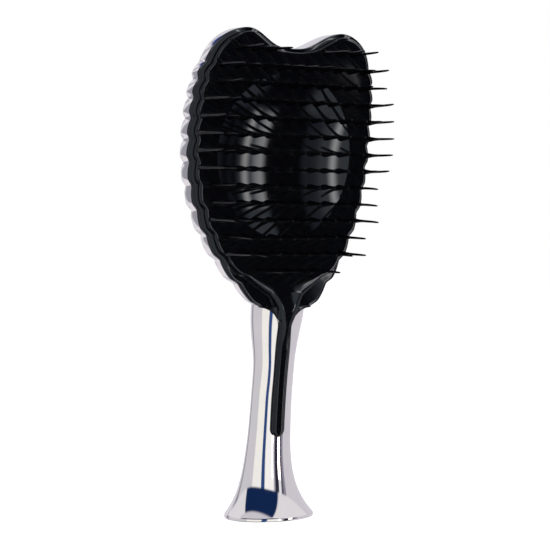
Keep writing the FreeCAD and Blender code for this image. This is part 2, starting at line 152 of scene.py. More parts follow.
# Places across are parts of the half width, and places down are parts of the head's height.
width, top = HEAD_HALF_WIDTH, BRUSH_HEIGHT
right_side = [(0.0, top - VALLEY_DROP), (VALLEY_HALF_WIDTH, top - 0.85 * VALLEY_DROP),
              (LOBE_X, top), (0.77 * width, top - 0.036 * HEAD_HEIGHT),
              (0.92 * width, top - 0.125 * HEAD_HEIGHT), (width, top - 0.33 * HEAD_HEIGHT),
              (0.975 * width, top - 0.53 * HEAD_HEIGHT),
              (0.84 * width, top - 0.715 * HEAD_HEIGHT),
              (0.57 * width, top - 0.885 * HEAD_HEIGHT), (NECK_HALF_WIDTH, NECK_Z)]
left_side = [(-x, z) for x, z in reversed(right_side[1:])]
smooth = spline_through(left_side + right_side, samples=6001)
walked = np.concatenate([[0], np.cumsum(np.hypot(*np.diff(smooth, axis=0).T))])
HALF_LENGTH = walked[-1] / 2
print("outline is", round(2 * HALF_LENGTH, 1), "mm long from neck to neck")

# %% Scalloped outline
NORMAL_REACH = 0.2          # the slope of the outline is measured this far to each side


def outline_point(distance):
    """Point of the smooth outline at a distance from the valley, and its outward normal."""
    here = HALF_LENGTH + distance
    x, z = [np.interp(here, walked, smooth[:, i]) for i in (0, 1)]
    dx, dz = [np.interp(here + NORMAL_REACH, walked, smooth[:, i])
              - np.interp(here - NORMAL_REACH, walked, smooth[:, i]) for i in (0, 1)]
    size = math.hypot(dx, dz)
    return np.array([x, z]), np.array([-dz, dx]) / size


level = BRUSH_HEIGHT - SCALLOP_START * HEAD_HEIGHT
START = next(d for d in np.arange(0, HALF_LENGTH, 0.01)
             if outline_point(d)[0][0] > LOBE_X and outline_point(d)[0][1] < level)
FIRST_SCALLOP = (HALF_LENGTH - START) * (SCALLOP_GROWTH - 1) / (SCALLOP_GROWTH ** SCALLOPS - 1)


def scallop_distance(count):
    """Distance walked from the valley after a number of scallops."""
    return START + FIRST_SCALLOP * (SCALLOP_GROWTH ** count - 1) / (SCALLOP_GROWTH - 1)


def scallop_wave(count):
    """How far the edge stands out after a number of scallops, from its mean line."""
    share = count % 1.0
    if share < SCALLOP_TIP:
        rise = 1 - (1 - share / SCALLOP_TIP) ** 2
    else:
        rise = (1 - share) / (1 - SCALLOP_TIP)
    return SCALLOP_DEPTH * (rise - 0.5)


print("scallops start", round(START, 1), "mm from the valley; first one",
      round(FIRST_SCALLOP, 2), "mm long")

# %% [markdown]
# The head's mesh is laid out on spokes. Each spoke is a place on the outline with three
# numbers: the distance walked from the valley, how far the edge stands out there, and how many
# scallops have passed, which is -1 on the lobes. Every ring of the head takes one point from
# each spoke, so that the lip, the flange and the plated back stay in step.

# %% Spokes
LOBE_STEPS = 40
SCALLOP_STEPS = 12
DIP_STARTS = 0.8            # part of the lobe after which its edge dips to the first notch
CORNER_STEP = 1 / 40        # a tip or notch is rounded over five samples this far apart

spokes = []
for i in range(LOBE_STEPS):
    distance = START * i / LOBE_STEPS
    dip = max(0.0, (i / LOBE_STEPS - DIP_STARTS) / (1 - DIP_STARTS))
    spokes.append((distance, -0.5 * SCALLOP_DEPTH * dip * dip, -1.0))
for i in range(SCALLOPS * SCALLOP_STEPS + 1):
    count = i / SCALLOP_STEPS
    corner = [scallop_wave(count + shift * CORNER_STEP) for shift in (-2, -1, 0, 1, 2)]
    inner = 0 < i < SCALLOPS * SCALLOP_STEPS
    wave = sum(corner) / len(corner) if inner else scallop_wave(0)
    spokes.append((scallop_distance(count), wave, count))
print(len(spokes), "spokes on each half of the head")

# %% Edge of the head
LIP_STARTS = 1.6            # from this inset on, points belong to the lip and the face
LIP_LEAVE = 5.6             # how far they leave the outline, down at the neck
LIP_LEAVE_HEIGHT = 22.0     # they begin to leave it this far above the neck
LIP_CALM = 0.7              # and their waves fade there by this part


def fade(value, low, high):
    """Soft step from 0 at low to 1 at high."""
    t = min(max((value - low) / (high - low), 0.0), 1.0)
    return t * t * (3 - 2 * t)


def edge(spoke, inset):
    """Point of the right-hand edge on a spoke, taken in by inset. The lip and the face inside
    it leave the outline near the neck, where they narrow to the tongue."""
    distance, wave, _ = spoke
    point, normal = outline_point(distance)
    leave = 0.0
    if inset >= LIP_STARTS:
        leave = 1 - fade(point[1], NECK_Z, NECK_Z + LIP_LEAVE_HEIGHT)
    return point + normal * (wave * (1 - LIP_CALM * leave) - inset - LIP_LEAVE * leave)


print("edge at the neck:", edge(spokes[-1], 0.0).round(1), "and its lip:",
      edge(spokes[-1], RIM_INSET).round(1))

# %% [markdown]
# ## Surfaces
#
# A few plain formulas carry the form. The face is hollow along its height, as one arc, with a
# shallow dish in its middle, which gathers the room's reflections into an oval. Below the neck
# the arc of the tongue takes over, and the two run into each other softly.

# %% Face formulas
TONGUE_LENGTH = 60.5        # from the neck down
TONGUE_END_Z = NECK_Z - TONGUE_LENGTH
TONGUE_HALF_WIDTH = 3.7


def circle_through(a, b, c):
    """Centre and radius of the circle through three points."""
    (ax, ay), (bx, by), (cx, cy) = a, b, c
    area = 2 * (ax * (by - cy) + bx * (cy - ay) + cx * (ay - by))
    sizes = [x * x + y * y for x, y in (a, b, c)]
    x = (sizes[0] * (by - cy) + sizes[1] * (cy - ay) + sizes[2] * (ay - by)) / area
    y = (sizes[0] * (cx - bx) + sizes[1] * (ax - cx) + sizes[2] * (bx - ax)) / area
    return x, y, math.hypot(ax - x, ay - y)


def face_arc(z, back=0.0):
    """The plain hollow face at a height, or a surface that lies evenly behind it."""
    radius = FACE_RADIUS + back
    return FACE_Y - FACE_RADIUS + math.sqrt(radius ** 2 - (z - FACE_Z) ** 2)


# The tongue's crown is an arc from just past its end, over a place on the handle, to the face.
CROWN = circle_through((TONGUE_END_Z - 8.0, -7.0), (0.67 * NECK_Z, -8.9),
                       (NECK_Z, face_arc(NECK_Z)))
# The dish is one arc along the brush, turned about an axis in front of it.
BOWL = circle_through(*[(z, face_arc(z) + deep) for z, deep in (
    (BOWL_Z - BOWL_HALF_HEIGHT, 0.0), (BOWL_Z, BOWL_DEPTH), (BOWL_Z + BOWL_HALF_HEIGHT, 0.0))])
BOWL_AXIS = (face_arc(BOWL_Z) + BOWL_DEPTH
             - (BOWL_HALF_WIDTH ** 2 + BOWL_DEPTH ** 2) / (2 * BOWL_DEPTH))
print("the dish turns about a line", round(-BOWL_AXIS), "mm in front of the brush")

# %% Soft joins
JOIN_SOFT = 0.6             # rounding where the tongue's arc runs into the face
JOIN_HEIGHT = 20.0          # the tongue's arc reaches this far above the neck
CROWNED = 0.9               # fall of the front from its middle to the sides, at the neck
SHOULDER = 0.5              # fall of the front to its lip near the neck
SHOULDER_WIDTH = 2.6
LIP_CURL = 0.15             # elsewhere the face rises this much to its lip
LIP_CURL_WIDTH = 7.0


def soft_max(first, second, soft):
    """The larger of two values, rounded off where they are nearly the same."""
    return 0.5 * (first + second + math.hypot(first - second, soft))


def front_line(z):
    """Side profile of the whole front, from the tongue's end to the top of the head."""
    if z >= NECK_Z + JOIN_HEIGHT:
        return face_arc(z)
    crown = CROWN[1] + math.sqrt(CROWN[2] ** 2 - (z - CROWN[0]) ** 2)
    return soft_max(face_arc(z), crown, JOIN_SOFT)


def open_face_y(x, z):
    """Front of the head without its dish, slightly crowned where it runs into the tongue."""
    near_tongue = 1 - fade(z, NECK_Z + 2, NECK_Z + 16)
    return front_line(z) + CROWNED * near_tongue * (x / NECK_HALF_WIDTH) ** 2


def dish_y(x, z):
    """The dish as a surface of its own. It is part of the face where it lies deeper."""
    middle = BOWL[1] + math.sqrt(BOWL[2] ** 2 - (z - BOWL[0]) ** 2)
    return BOWL_AXIS + math.sqrt((middle - BOWL_AXIS) ** 2 - x ** 2)


def face_y(x, z):
    """Front of the head with its dish."""
    return max(open_face_y(x, z), dish_y(x, z))


def edge_y(x, z, back, inset):
    """Edge of the head. At its lip the face curls up a little, or falls to a soft shoulder near
    the neck. The side wall of the lip takes this up, so the flange stays on its own arc."""
    past_lip = max(inset - RIM_INSET, 0.0)
    near_neck = 1 - fade(z, NECK_Z + 5, NECK_Z + 20)
    curl = LIP_CURL * (1 - near_neck) * max(0.0, 1 - past_lip / LIP_CURL_WIDTH) ** 2
    shoulder = SHOULDER * near_neck * max(0.0, 1 - past_lip / SHOULDER_WIDTH) ** 2
    off_arc = face_y(x, z) - face_arc(z) - curl + shoulder
    return face_arc(z, back) + off_arc * max(0.0, 1 - back / RIM_STEP)


def dome_y(x, z):
    """The ball of the back."""
    return DOME_Y - DOME_RADIUS + math.sqrt(DOME_RADIUS ** 2 - x ** 2 - (z - DOME_Z) ** 2)


print("face at", round(face_y(0, BOWL_Z), 2), "and dome at", round(dome_y(0, DOME_Z), 2))

# %% Handle laws
FOOT_HALF_WIDTH, FOOT_HALF_DEPTH = 22.6, 15.4
FOOT_EDGE = 1.6             # upright edge round the foot
WAIST_HALF_WIDTH, WAIST_HALF_DEPTH = 10.4, 6.1
WAIST_Z = 0.61 * NECK_Z
FLARE_LENGTH = 13.0         # the flare fades by a factor of e over this height
NECK_HALF_DEPTH = 9.0
NECK_EDGE = edge(spokes[-1], 0.0)[0]
RIDGE_END_Z = NECK_Z + 27.5     # the handle runs up inside the dome to here
RIDGE_HALF_WIDTH = 9.6
# Height as a part of the neck's height, and how far back the middle of the oval lies there.
AXIS_LINE = [(0.0, 0.0), (0.13, 1.7), (0.26, 2.1), (0.42, 1.1), (0.58, -0.1), (0.73, -1.5),
             (0.88, -2.3), (1.0, -3.7), (1.14, -3.6), (1.5, -3.4)]
axis_curve = spline_through([(z * NECK_Z, y) for z, y in AXIS_LINE], samples=600)


def axis_y(z):
    """How far back the middle of the handle lies at a height."""
    return float(np.interp(z, axis_curve[:, 0], axis_curve[:, 1]))


def half_width(z):
    """Half of the handle's width at a height: waist, flare to the foot, spread to the neck."""
    flare = (FOOT_HALF_WIDTH - WAIST_HALF_WIDTH) * math.exp(-max(z - FOOT_EDGE, 0) / FLARE_LENGTH)
    neck = (NECK_EDGE - WAIST_HALF_WIDTH) * fade(z, WAIST_Z + 0.1 * NECK_Z, NECK_Z)
    taper = (NECK_EDGE - RIDGE_HALF_WIDTH) * fade(z, NECK_Z, RIDGE_END_Z)
    return WAIST_HALF_WIDTH + flare + neck - taper


def half_depth(z):
    """Half of the handle's depth at a height."""
    flare = (FOOT_HALF_DEPTH - WAIST_HALF_DEPTH) * math.exp(-max(z - FOOT_EDGE, 0) / FLARE_LENGTH)
    neck = (NECK_HALF_DEPTH - WAIST_HALF_DEPTH) * fade(z, WAIST_Z - 0.05 * NECK_Z, NECK_Z)
    return WAIST_HALF_DEPTH + flare + neck


print("handle is", round(2 * half_width(WAIST_Z), 1), "mm wide at its waist and",
      round(2 * half_width(0), 1), "mm at the foot")

# %% [markdown]
# ## Finishes
#
# Each material starts from what the real one is and how its surface was made. Colours are
# written as sRGB hex values, which one function turns to the linear values that the renderer
# works in, and one small function adds a node with its settings and links. Some nodes have
# several sockets of one name, so a socket can also be named by its number: the two colours of
# a Mix node are 6 and 7, and its result is 2.

# %% Material helpers
def srgb(code):
    """Linear colour of an sRGB hex value."""
    parts = [int(code[i:i + 2], 16) / 255 for i in (0, 2, 4)]
    linear = [p / 12.92 if p <= 0.04045 else ((p + 0.055) / 1.055) ** 2.4 for p in parts]
    return (*linear, 1.0)


def add(tree, kind, settings=None, **links):
    """Adds a node. A setting is an attribute, or an input by its name or number, and gets a
    value or the output of another node. In the name of a link, _ stands for a space."""
    node = tree.nodes.new(kind)
    named = {key.replace("_", " "): source for key, source in links.items()}
    for key, value in {**(settings or {}), **named}.items():
        if isinstance(value, bpy.types.NodeSocket):
            tree.links.new(value, node.inputs[key])
        elif isinstance(key, int) or key in node.inputs:
            node.inputs[key].default_value = value
        else:
            setattr(node, key, value)
    return node


def new_material(name):
    """Empty node material and its tree."""
    material = bpy.data.materials.new(name)
    material.use_nodes = True
    material.node_tree.nodes.clear()
    return material, material.node_tree


print("a middle grey in linear light:", [round(v, 3) for v in srgb("808080")])

# %% [markdown]
# No real surface is the same all over. Each finish here has a noise of a real size in
# millimetres that varies its colour and its roughness a little, and the two glossy ones also
# wave gently, as moulded walls do.

# %% Uneven surfaces
def varied(tree, grain, detail, tints, roughness):
    """Noise with a grain in millimetres, and the colour and roughness that vary with it."""
    place = add(tree, "ShaderNodeTexCoord").outputs["Object"]
    noise = add(tree, "ShaderNodeTexNoise", {"Scale": 1 / (grain * MM), "Detail": detail},
                Vector=place).outputs["Fac"]
    gloss = add(tree, "ShaderNodeMapRange", {"To Min": roughness[0], "To Max": roughness[1]},
                Value=noise)
    colours = {"data_type": "RGBA", 6: srgb(tints[0]), 7: srgb(tints[1])}
    tint = add(tree, "ShaderNodeMix", colours, Factor=noise)
    return noise, {"Base_Color": tint.outputs[2], "Roughness": gloss.outputs["Result"]}


def waves(tree, length, strength, depth):
    """Normals of a wall that waves gently, with its length and depth in millimetres."""
    place = add(tree, "ShaderNodeTexCoord").outputs["Object"]
    wave = add(tree, "ShaderNodeTexNoise", {"Scale": 1 / (length * MM), "Detail": 0.0},
               Vector=place)
    bump = add(tree, "ShaderNodeBump", {"Strength": strength, "Distance": depth * MM},
               Height=wave.outputs["Fac"])
    return bump.outputs["Normal"]


print("a grain of 9 mm is a noise scale of", round(1 / (9 * MM), 1), "per metre")

# %% [markdown]
# **Gloss black ABS**, moulded against a polished steel tool. It gives the eye a near-black
# body with sharp reflections. ABS has an IOR of about 1.54, but the real face reflects less
# than that gives, and a little more blue, so the specular level is lowered and its tint is
# cool. Polished tools still leave a faint waviness, about 12 mm from crest to crest, and
# handling leaves very fine dulling, so the roughness varies slightly and the bump is kept very
# low.

# %% Gloss black ABS
def make_gloss_black():
    material, tree = new_material("gloss_black_abs")
    _, look = varied(tree, 9, 4.0, ("040405", "070708"), (0.03, 0.06))
    reflection = {"IOR": 1.54, "Specular IOR Level": 0.3, "Specular Tint": srgb("E1EEFF")}
    shader = add(tree, "ShaderNodeBsdfPrincipled", reflection, **look,
                 Normal=waves(tree, 12, 0.06, 0.06))
    add(tree, "ShaderNodeOutputMaterial", Surface=shader.outputs["BSDF"])
    return material


GLOSS_BLACK = make_gloss_black()
print("made", GLOSS_BLACK.name)

# %% [markdown]
# **Mirror plating on ABS**: copper, nickel and a thin layer of chromium over a polished
# moulding. It reflects about 0.75 of the light, slightly warm here, with almost no blur. The
# plating follows the moulding's own faint sink and waviness, which bends reflections a
# little, and it carries hairline dulling from handling.

# %% Mirror plating
def make_mirror_plate():
    material, tree = new_material("mirror_plating")
    _, look = varied(tree, 7, 5.0, ("E9E4DF", "DFDCE0"), (0.03, 0.085))
    shader = add(tree, "ShaderNodeBsdfPrincipled", {"Metallic": 1.0}, **look,
                 Normal=waves(tree, 15, 0.12, 0.08))
    add(tree, "ShaderNodeOutputMaterial", Surface=shader.outputs["BSDF"])
    return material


MIRROR_PLATE = make_mirror_plate()
print("made", MIRROR_PLATE.name)

# %% [markdown]
# **Nylon bristles**, moulded black with the face. Nylon is a little softer in gloss than
# ABS, so its highlights are broader, and they are kept as weak as the real ones are.
# **Fine-textured ABS** for the cap under the foot comes from a spark-eroded tool. Its grain
# repeats about every 0.6 mm and scatters the light.

# %% Nylon and textured ABS
def make_nylon():
    material, tree = new_material("black_nylon")
    _, look = varied(tree, 4, 2.0, ("030304", "060608"), (0.12, 0.22))
    shader = add(tree, "ShaderNodeBsdfPrincipled", {"IOR": 1.53, "Specular IOR Level": 0.25},
                 **look)
    add(tree, "ShaderNodeOutputMaterial", Surface=shader.outputs["BSDF"])
    return material


def make_textured_black():
    material, tree = new_material("textured_black_abs")
    grain, look = varied(tree, 0.6, 3.0, ("121214", "1C1C20"), (0.5, 0.68))
    bump = add(tree, "ShaderNodeBump", {"Strength": 0.4, "Distance": 0.05 * MM}, Height=grain)
    shader = add(tree, "ShaderNodeBsdfPrincipled", {"IOR": 1.5}, **look,
                 Normal=bump.outputs["Normal"])
    add(tree, "ShaderNodeOutputMaterial", Surface=shader.outputs["BSDF"])
    return material


NYLON = make_nylon()
TEXTURED_BLACK = make_textured_black()
print("made", NYLON.name, "and", TEXTURED_BLACK.name)

# %% [markdown]
# ## Rings
#
# Both mouldings are built as nets of rings. Each ring has the same number of points, so the
# quads between two rings need no thought, and a closed end is a fan of faces to one point.
# One function turns rings to a mesh, welds it and makes its faces point outwards.

# %% Ring mesh
WELD_DISTANCE = 0.002 * MM
SHARP_ANGLE = math.radians(44)      # edges that turn more than this stay crisp


def ring_mesh(name, rings, material, cap_last=None, cap_first=None):
    """Piece from rings of points in millimetres. A cap is one point that closes an end."""
    count = len(rings[0])
    points = [p for ring in rings for p in ring]
    faces = []
    for r in range(len(rings) - 1):
        for i in range(count):
            j = (i + 1) % count
            faces.append([r * count + i, r * count + j, (r + 1) * count + j,
                          (r + 1) * count + i])
    for cap, base in ((cap_last, (len(rings) - 1) * count), (cap_first, 0)):
        if cap is not None:
            points.append(cap)
            faces.extend([base + i, base + (i + 1) % count, len(points) - 1]
                         for i in range(count))
    mesh = bpy.data.meshes.new(name)
    mesh.from_pydata([[v * MM for v in p] for p in points], [], faces)
    shell = bmesh.new()
    shell.from_mesh(mesh)
    bmesh.ops.remove_doubles(shell, verts=shell.verts, dist=WELD_DISTANCE)
    bmesh.ops.recalc_face_normals(shell, faces=shell.faces)
    shell.to_mesh(mesh)
    shell.free()
    mesh.materials.append(material)
    mesh.shade_smooth()
    mesh.set_sharp_from_angle(angle=SHARP_ANGLE)
    piece = bpy.data.objects.new(name, mesh)
    bpy.context.scene.collection.objects.link(piece)
    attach(piece, "root")
    print(name, "has", len(mesh.polygons), "faces")
    return piece


print("pieces are welded within", WELD_DISTANCE / MM, "mm")

# %% [markdown]
# ## Face moulding of the head
#
# Seen from the side its edge has two steps: a black flange next to the plated back, and the
# raised lip round the face, 1.9 mm further in. The rings walk from the seam round both steps,
# with small roundings, then in over the face. One of them lies on the rim of the dish, where
# the face turns sharply, because faces that straddled the rim would show there as a thin bright
# line. The last rings close on the middle of the dish. A bevel on a flat outline would round
# every step alike, and here each has its own rounding.

# %% Rings of the head
NECK_POINTS = 20            # points across the neck, where a ring of the head closes


def head_ring(inset, depth):
    """Ring round the head. depth gives y from x and z; the ring closes across the neck."""
    right = [edge(spoke, inset) for spoke in spokes]
    end_x, end_z = right[-1]
    ring = [(x, z) for x, z in right]
    ring += [(x, end_z) for x in np.linspace(end_x, -end_x, NECK_POINTS + 2)[1:-1]]
    ring += [(-x, z) for x, z in reversed(right[1:])]
    return [(x, depth(x, z), z) for x, z in ring]


def rim_share(x, z):
    """How far from a point towards the middle of the dish its rim is crossed, by halving."""
    near, far = 0.0, 1.0
    for _ in range(30):
        share = (near + far) / 2
        x2, z2 = x * (1 - share), z + (BOWL_Z - z) * share
        near, far = (share, far) if open_face_y(x2, z2) > dish_y(x2, z2) else (near, share)
    return near


def towards_dish(ring, shares):
    """The same ring moved towards the middle of the dish, each point by its own share."""
    moved = [(x * (1 - s), z + (BOWL_Z - z) * s) for (x, _, z), s in zip(ring, shares)]
    return [(x, face_y(x, z), z) for x, z in moved]


print("a ring of the head has", len(head_ring(0.0, face_y)), "points")

# %% Head of the face moulding
# Inset from the outline and distance behind the face: flange, its step, lip and face.
EDGE_PROFILE = [(0.0, 5.5), (0.0, 3.1), (0.12, 2.85), (0.4, 2.72), (1.45, 2.7), (1.72, 2.55),
                (1.8, 2.3), (1.85, 0.85), (1.95, 0.42), (2.2, 0.12), (2.6, 0.0), (3.4, 0.0),
                (4.4, 0.0), (5.6, 0.0), (7.0, 0.0), (9.0, 0.0)]
RINGS_TO_RIM = 14
RINGS_IN_DISH = 36
RIM_TOLERANCE = 0.002       # a point is on the rim where face and dish are this close

rings = [head_ring(inset, lambda x, z, b=back, i=inset: edge_y(x, z, b, i))
         for inset, back in EDGE_PROFILE]
flat_ring = rings[-1]
rim = [rim_share(x, z) for x, _, z in flat_ring]
for step in range(1, RINGS_TO_RIM + 1):
    rings.append(towards_dish(flat_ring, [share * step / RINGS_TO_RIM for share in rim]))
for step in range(1, RINGS_IN_DISH):
    rings.append(towards_dish(flat_ring, [share + (1 - share) * step / RINGS_IN_DISH
                                          for share in rim]))
face_head = ring_mesh("face_head", rings, GLOSS_BLACK,
                      cap_last=(0, face_y(0, BOWL_Z), BOWL_Z))
places = [(vert.co.x / MM, vert.co.z / MM) for vert in face_head.data.vertices]
on_rim = [abs(open_face_y(x, z) - dish_y(x, z)) < RIM_TOLERANCE for x, z in places]
for mesh_edge in face_head.data.edges:
    if all(on_rim[v] for v in mesh_edge.vertices):
        mesh_edge.use_edge_sharp = True
print(sum(on_rim), "points on the crisp rim of the dish")

# %% [markdown]
# ## Yoke and tongue
#
# Below the neck the black face narrows through a yoke to a tongue that is let into the front
# of the handle and stands proud of it, half round, with a ball-shaped end. It is a strip of
# cross sections that fall away from one crest line. The lip of the head goes on down the strip
# and becomes the sides of the tongue, and the flange under it becomes the yoke. Sections keep
# it true to the handle, which a sculpted shape would not.

# %% Widths of the yoke and tongue
YOKE_RADIUS = NECK_EDGE - TONGUE_HALF_WIDTH
YOKE_FOOT_Z = NECK_Z - YOKE_RADIUS
BALL_Z = TONGUE_END_Z + TONGUE_HALF_WIDTH       # middle of the ball that ends the tongue
TONGUE_RIDGE = 2.5          # half width of the raised middle, far down the tongue
LIP_NARROWS = 7.0           # the lip narrows to it by a factor of e over this height
NECK_LIP = edge(spokes[-1], RIM_INSET)


def strip_half_width(z):
    """Half width of the yoke and the tongue at a height."""
    if z > YOKE_FOOT_Z:
        rise = min(z, NECK_Z) - YOKE_FOOT_Z
        return NECK_EDGE - math.sqrt(max(YOKE_RADIUS ** 2 - rise ** 2, 0.0))
    if z < BALL_Z:
        return math.sqrt(max(TONGUE_HALF_WIDTH ** 2 - (BALL_Z - z) ** 2, 0.0))
    return TONGUE_HALF_WIDTH


def lip_half_width(z):
    """Half width of the raised middle, which goes on from the lip of the head."""
    narrowed = math.exp((z - NECK_LIP[1]) / LIP_NARROWS)
    return TONGUE_RIDGE + (NECK_LIP[0] - TONGUE_RIDGE) * narrowed


print("lip is", round(2 * lip_half_width(NECK_Z), 1), "mm wide at the neck and",
      round(2 * lip_half_width(YOKE_FOOT_Z), 1), "mm at the foot of the yoke")

# %% Cross section of the yoke and tongue
TONGUE_THICKNESS = 2.8
TONGUE_DROP = 1.05          # the tongue's sides stand this far behind its crest
NECK_DROP = face_arc(NECK_Z, RIM_STEP) - front_line(NECK_Z)     # and the flange at the neck
LIP_ROUND, TONGUE_ROUND = 0.4, 1.2      # rounding of the raised middle, on yoke and tongue
UNDER_FLANGE = 0.12         # above the neck the strip lies this far under the head's flange
FILLET = 0.12               # part of the drop where the wall runs out into the flange
EDGE_ROUND = 0.15           # rounding at the outer edge of the flange
SEAM_Y = face_arc(NECK_Z, PLATE_THICKNESS)
CREST_POINTS, ROUND_POINTS = 14, 8


def strip_section(z):
    """Right half of the cross section at a height: crest, rounding, wall and flange."""
    half = strip_half_width(z)
    # The raised middle leaves a little of the flange beside it, also where the ball narrows.
    lip = min(lip_half_width(z), max(half - 1.0, 0.68 * half))
    # From 0 on the yoke to 1 on the tongue.
    tongue = 1 - fade(z, NECK_Z - 22, NECK_Z - 1)
    drop = NECK_DROP + (TONGUE_DROP - NECK_DROP) * tongue
    if z > NECK_Z:
        crest = face_y(0, z)
        flange = face_arc(z, RIM_STEP) + UNDER_FLANGE * fade(z, NECK_Z, NECK_Z + 1.5)
    else:
        crest = front_line(max(z, BALL_Z))
        flange = crest + drop
    soft = LIP_ROUND + (TONGUE_ROUND - LIP_ROUND) * tongue
    low = min(soft, 0.5 * drop)
    points = []
    for x in np.linspace(0, 1, CREST_POINTS) ** 0.7 * (lip - soft):
        shoulder = SHOULDER * (1 - tongue) * max(0.0, 1 - (lip - x) / SHOULDER_WIDTH) ** 2
        points.append((x, crest + CROWNED * (x / NECK_HALF_WIDTH) ** 2 + shoulder))
    side_y = points[-1][1]
    points += [(lip - soft + soft * math.sin(a), side_y + low * (1 - math.cos(a)))
               for a in np.linspace(0, math.pi / 2, ROUND_POINTS)[1:]]
    points.append((lip + min(0.25 * (half - lip), 0.4), flange - FILLET * drop))
    points += [(lip + share * (half - lip), flange) for share in (0.45, 0.7, 0.92)]
    points.append((half, flange + EDGE_ROUND))
    # The side goes down into the handle, but near the neck no further back than the seam.
    shell_y = axis_y(z) - half_depth(z) * math.sqrt(max(1 - (half / half_width(z)) ** 2, 0.0))
    buried_y = max(flange, shell_y) + TONGUE_THICKNESS / 2
    if z > NECK_Z - 3:
        buried_y = min(buried_y, SEAM_Y)
    points.append((half, buried_y))
    return points


print("a section has", 2 * len(strip_section(NECK_Z)) - 1, "points")

# %% Yoke and tongue
STRIP_TOP_Z = NECK_Z + 10.5
DIP_Z = NECK_Z + 5.8        # above this the strip dips under the face, where it ends unseen
DIP = 0.08

# Heights from the top down: over the head, along the yoke, down the tongue, round its ball.
heights = list(np.linspace(STRIP_TOP_Z, NECK_Z + 0.1, 22))
heights += list(np.linspace(NECK_Z - 0.02, YOKE_FOOT_Z, 30))
heights += list(np.linspace(YOKE_FOOT_Z, BALL_Z, 44))[1:]
heights += [BALL_Z - TONGUE_HALF_WIDTH * math.sin(a)
            for a in np.linspace(0, math.pi / 2, 14)[1:-1]]
sections = []
for z in heights:
    behind = DIP * max(0.0, z - DIP_Z) / (STRIP_TOP_Z - DIP_Z)
    right = [(x, y + behind, z) for x, y in strip_section(z)]
    sections.append([(-x, y, z) for x, y, z in reversed(right[1:])] + right)
low_y = sections[-1][0][1]
face_tongue = ring_mesh("face_tongue", sections, GLOSS_BLACK,
                        cap_last=(0, low_y, TONGUE_END_Z + 0.02))
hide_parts("face_plate")

# %% [markdown]
# ## Plated back
#
# The plated shell starts at the seam behind the black flange, runs straight back, rounds over
# and closes over the ball of the back. Between the scallops, shallow flutes run in from each
# notch and fade out, like the quills between feathers. The mesh has spokes at the notches, so
# the flutes need no displacement: each point is placed as deep as it has to be.

# %% Flutes
COUNTS = [spoke[2] for spoke in spokes]
RING_COUNTS = COUNTS + [-1.0] * NECK_POINTS + list(reversed(COUNTS[1:]))
FLUTE_END = 0.35            # part of its width that a flute still has at its inner end


def flute_depth(count, distance):
    """Depth of the flutes on a spoke, at a distance in from the edge."""
    if count < 0.5 or count > SCALLOPS - 0.5:
        return 0.0
    pitch = FIRST_SCALLOP * SCALLOP_GROWTH ** round(count)
    off = abs(count - round(count)) * pitch / FLUTE_HALF_WIDTH
    fall = max(0.0, 1 - distance / FLUTE_LENGTH)
    width = FLUTE_END + (1 - FLUTE_END) * fall
    return FLUTE_DEPTH * fall * max(0.0, 1 - off / width) ** 1.3


print("a flute is", flute_depth(1.0, 0.0), "mm deep at its notch and",
      round(flute_depth(1.0, FLUTE_LENGTH / 2), 2), "mm halfway in")

# %% Plated dome
# Inset from the outline and distance behind the ball of the back, for the rounded edge.
DOME_EDGE = [(0.0, -1.2), (0.1, -0.62), (0.35, -0.26), (0.8, -0.07), (1.4, 0.0)]
SHELL_RISE = 0.3            # the plated edge stands at least this far behind the seam
RINGS_IN_DOME = 36

rings = [head_ring(0.0, lambda x, z: face_arc(z, PLATE_THICKNESS))]
for inset, back in DOME_EDGE:
    ring = []
    for (x, y, z), count in zip(head_ring(inset, dome_y), RING_COUNTS):
        least_y = face_arc(z, PLATE_THICKNESS) + SHELL_RISE
        ring.append((x, max(y + back - flute_depth(count, inset), least_y), z))
    rings.append(ring)
base = head_ring(DOME_EDGE[-1][0], dome_y)
for step in range(1, RINGS_IN_DOME):
    share = (step / RINGS_IN_DOME) ** 0.9
    ring = []
    for (x, y, z), count in zip(base, RING_COUNTS):
        away = math.hypot(x, z - DOME_Z) * share
        x2, z2 = x * (1 - share), z + (DOME_Z - z) * share
        ring.append((x2, dome_y(x2, z2) - flute_depth(count, away), z2))
    rings.append(ring)
plated_dome = ring_mesh("plated_dome", rings, MIRROR_PLATE,
                        cap_last=(0, dome_y(0, DOME_Z), DOME_Z))

# %% [markdown]
# ## Handle
#
# An oval swept up a gently bent line. A lathe gives only round handles, so each ring has its
# own width, depth and place. The foot has a small rounded edge below and above its upright
# band, and its underside turns in to the seat of the cap. Behind the yoke the front of the oval
# is a little flatter, so that the black lies on it. Above the neck the handle runs on inside
# the dome, and there its front is held at the seam.

# %% Plated handle
AROUND = 96
CAP_HEIGHT = 2.4
# Inset and height of the rings under and round the foot, from the seat of the cap outwards.
FOOT_PROFILE = [(1.2, CAP_HEIGHT), (1.2, 0.1), (1.0, 0.0), (0.5, 0.0), (0.15, 0.12),
                (0.0, 0.45), (0.0, 1.2), (0.1, 1.5)]
HANDLE_RINGS = 100
CROWDING = 1.4              # power that crowds the rings at the flare of the foot
YOKE_SEAT = 0.9             # how much flatter the front is behind the yoke


def oval_ring(z, inset=0.0):
    """Points round the handle at a height, from its right-hand side."""
    wide, deep, middle = half_width(z) - inset, half_depth(z) - inset, axis_y(z)
    return [(wide * math.cos(t), middle + deep * math.sin(t), z)
            for t in np.linspace(0, 2 * math.pi, AROUND, endpoint=False)]


rings = [[(x, y, height) for x, y, _ in oval_ring(0.0, inset)]
         for inset, height in FOOT_PROFILE]
rise = (np.arange(1, HANDLE_RINGS + 1) / HANDLE_RINGS) ** CROWDING
heights = FOOT_EDGE + (RIDGE_END_Z - FOOT_EDGE) * rise
